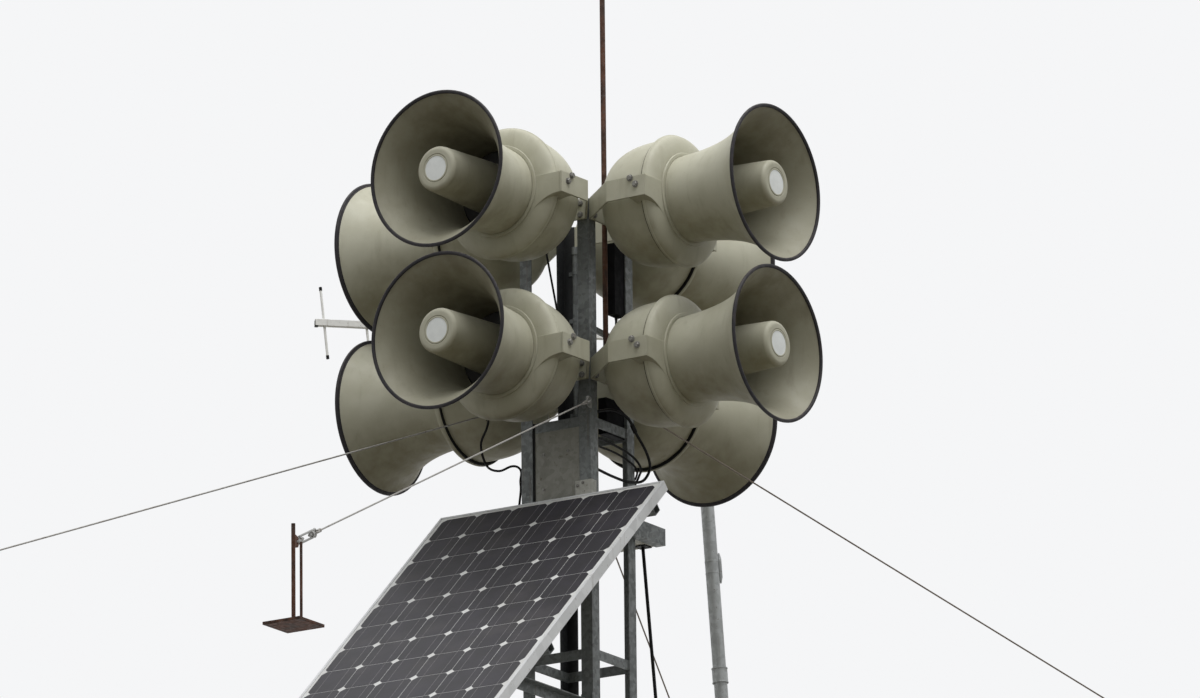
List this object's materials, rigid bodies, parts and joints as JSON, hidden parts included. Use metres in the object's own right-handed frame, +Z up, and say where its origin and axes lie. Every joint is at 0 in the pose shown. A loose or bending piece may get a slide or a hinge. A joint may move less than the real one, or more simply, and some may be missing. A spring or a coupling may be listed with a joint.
{
  "type": "civil defense siren tower",
  "caption": "Square angle-iron mast with stacked re-entrant siren horns facing all sides, a sloping solar panel, a lightning rod, an antenna on a leaning pipe and guy wires to anchor posts.",
  "frame": {"origin": "centre of the underside of the mast's base plate", "axes": "+Z up along the mast; -Y towards the solar panel; +X and +Y square to the faces of the mast"},
  "size_m": [3.422, 7.88, 4],
  "materials": {
    "cream_paint": "weathered matt",
    "horn_trim": "matt",
    "cap_plastic": "matt",
    "zinc_steel": "dull galvanised",
    "zinc_sheet": "dull galvanised",
    "box_plastic": "matt",
    "panel_aluminium": "satin",
    "panel_glass": "glossy",
    "rusty_steel": "rusty",
    "antenna_metal": "satin",
    "guy_steel": "dull galvanised"
  },
  "bodies": {
    "root": {"base_plate": "zinc_steel", "leg_front": "zinc_steel", "leg_right": "zinc_steel", "leg_back": "zinc_steel", "leg_left": "zinc_steel", "tie_bars": "zinc_steel", "face_sheet": "zinc_sheet", "leg_bracket": "zinc_steel", "cable_boxes": "box_plastic", "bell_front_lower": "cream_paint", "bell_right_lower": "cream_paint", "bell_back_lower": "cream_paint", "bell_left_lower": "cream_paint", "bell_front_upper": "cream_paint", "bell_right_upper": "cream_paint", "bell_back_upper": "cream_paint", "bell_left_upper": "cream_paint", "body_front_lower": "cream_paint", "body_right_lower": "cream_paint", "body_back_lower": "cream_paint", "body_left_lower": "cream_paint", "body_front_upper": "cream_paint", "body_right_upper": "cream_paint", "body_back_upper": "cream_paint", "body_left_upper": "cream_paint", "plugs_lower": "cream_paint", "plugs_upper": "cream_paint", "plug_caps": "cap_plastic", "mouth_trims": "horn_trim", "yokes_lower": "cream_paint", "yokes_upper": "cream_paint", "panel_frame": "panel_aluminium", "panel_laminate": "panel_glass", "panel_rails": "zinc_steel", "panel_arms": "zinc_steel", "panel_struts": "zinc_steel", "rear_tray": "zinc_sheet", "lightning_rod": "rusty_steel", "rod_clamps": "rusty_steel", "antenna_pipe": "zinc_steel", "antenna_boom": "antenna_metal", "antenna_elements": "antenna_metal", "antenna_stay": "zinc_steel", "guy_eyes": "guy_steel", "guy_wires": "guy_steel", "turnbuckles": "guy_steel", "guy_anchors": "guy_steel", "cable_duct": "box_plastic", "horn_cables": "box_plastic", "down_lead": "box_plastic"}
  },
  "joints": []
}
